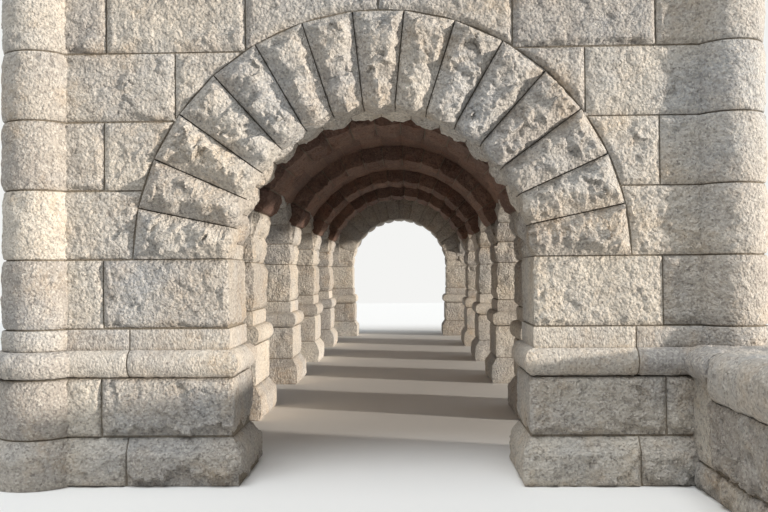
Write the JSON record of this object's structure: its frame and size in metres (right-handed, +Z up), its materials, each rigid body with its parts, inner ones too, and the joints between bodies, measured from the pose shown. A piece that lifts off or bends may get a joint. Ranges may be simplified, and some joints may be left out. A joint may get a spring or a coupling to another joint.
{
  "type": "rusticated archway with arcaded passage",
  "caption": "Rock-faced granite archway with engaged corner columns, a vaulted passage with side arches, a plain parapet and a low wing wall.",
  "frame": {"origin": "middle of the whole part's base, at ground level, on the middle line of the passage", "axes": "+X to the right across the doorway seen from the front, +Y along the passage away from the front, +Z up"},
  "size_m": [6.42, 19.605, 5.605],
  "materials": {
    "wall_granite": "rock-faced",
    "voussoir_granite": "rock-faced",
    "pointed_granite": "finely pointed",
    "vault_granite": "rough",
    "deck_granite": "sawn"
  },
  "bodies": {
    "root": {"front_jamb_left": "wall_granite", "front_jamb_right": "wall_granite", "rear_jamb_left": "wall_granite", "rear_jamb_right": "wall_granite", "front_spandrel_left": "wall_granite", "front_spandrel_right": "wall_granite", "rear_spandrel_left": "wall_granite", "rear_spandrel_right": "wall_granite", "front_arch": "voussoir_granite", "rear_arch": "voussoir_granite", "front_column_left": "pointed_granite", "front_column_right": "pointed_granite", "rear_column_left": "pointed_granite", "rear_column_right": "pointed_granite", "pier_left_1": "wall_granite", "pier_left_2": "wall_granite", "pier_left_3": "wall_granite", "pier_left_4": "wall_granite", "pier_right_1": "wall_granite", "pier_right_2": "wall_granite", "pier_right_3": "wall_granite", "pier_right_4": "wall_granite", "transverse_arch_1": "voussoir_granite", "transverse_arch_2": "voussoir_granite", "transverse_arch_3": "voussoir_granite", "transverse_arch_4": "voussoir_granite", "vault_1": "vault_granite", "vault_2": "vault_granite", "vault_3": "vault_granite", "vault_4": "vault_granite", "vault_5": "vault_granite", "arcade_left_1": "wall_granite", "arcade_left_2": "wall_granite", "arcade_left_3": "wall_granite", "arcade_left_4": "wall_granite", "arcade_left_5": "wall_granite", "arcade_right_1": "wall_granite", "arcade_right_2": "wall_granite", "arcade_right_3": "wall_granite", "arcade_right_4": "wall_granite", "arcade_right_5": "wall_granite", "roof_deck": "deck_granite", "cornice_front": "pointed_granite", "cornice_rear": "pointed_granite", "cornice_left": "pointed_granite", "cornice_right": "pointed_granite", "parapet_front": "wall_granite", "parapet_rear": "wall_granite", "parapet_left": "wall_granite", "parapet_right": "wall_granite", "wing_kerb": "wall_granite", "wing_wall": "wall_granite", "wing_coping": "pointed_granite"}
  },
  "joints": []
}
